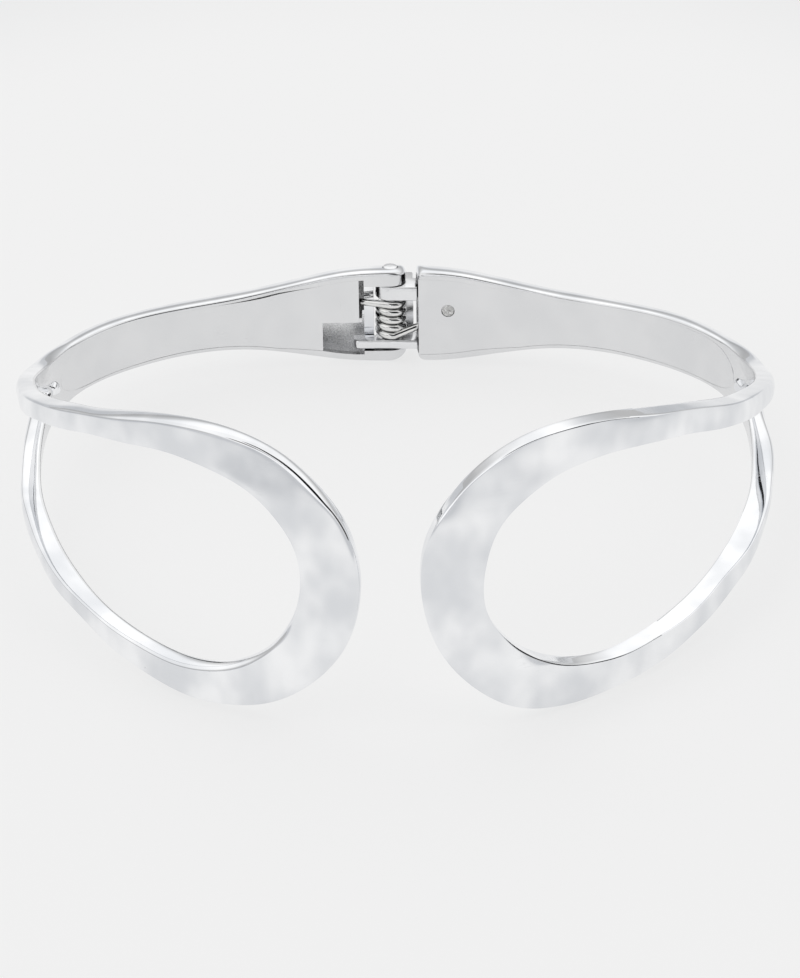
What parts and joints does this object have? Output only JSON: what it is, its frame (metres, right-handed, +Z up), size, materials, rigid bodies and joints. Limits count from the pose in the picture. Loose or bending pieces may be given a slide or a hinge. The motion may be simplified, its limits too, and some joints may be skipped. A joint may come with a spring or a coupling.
{
  "type": "bangle bracelet",
  "caption": "Sprung hinged cuff bracelet: slim hollow arms that fork into open teardrop loops bent round the wrist, with a gap between the loops at the front.",
  "frame": {"origin": "middle of the bracelet's footprint on the surface that it lies on, resting on its hinge end and its two loops", "axes": "+X across the bracelet towards its right half, +Y towards the hinge, +Z up. The wrist runs along the hinge pin's direction, tipped back from +Z towards +Y."},
  "size_m": [0.0664, 0.054, 0.0261],
  "materials": {
    "polished_plating": "polished silver-tone plating, softly hammered on the outside",
    "plate_plating": "plain polished silver-tone plating",
    "pin_plating": "polished silver-tone plating, flattened at the ends",
    "spring_wire": "drawn spring wire, plated",
    "tongue_plating": "plated stamped metal with cut edges",
    "rivet_metal": "set rivet end, rough"
  },
  "bodies": {
    "left_arm": {"left_shell": "polished_plating", "left_inner_plate": "plate_plating", "hinge_pin": "pin_plating", "torsion_spring": "spring_wire"},
    "right_arm": {"right_shell": "polished_plating", "right_inner_plate": "plate_plating", "hinge_tongue": "tongue_plating", "tang_rivet": "rivet_metal"}
  },
  "joints": [
    {"name": "hinge_swing", "type": "hinge", "parent": "left_arm", "child": "right_arm", "pos_m": [-0.00075, 0.02456, 0.00463], "axis": [0, 0.1807, 0.9835], "range_deg": [0, 50], "stiffness_Nm_per_rad": 0.1, "springref_deg": -28.65, "deforming": ["torsion_spring"]}
  ]
}
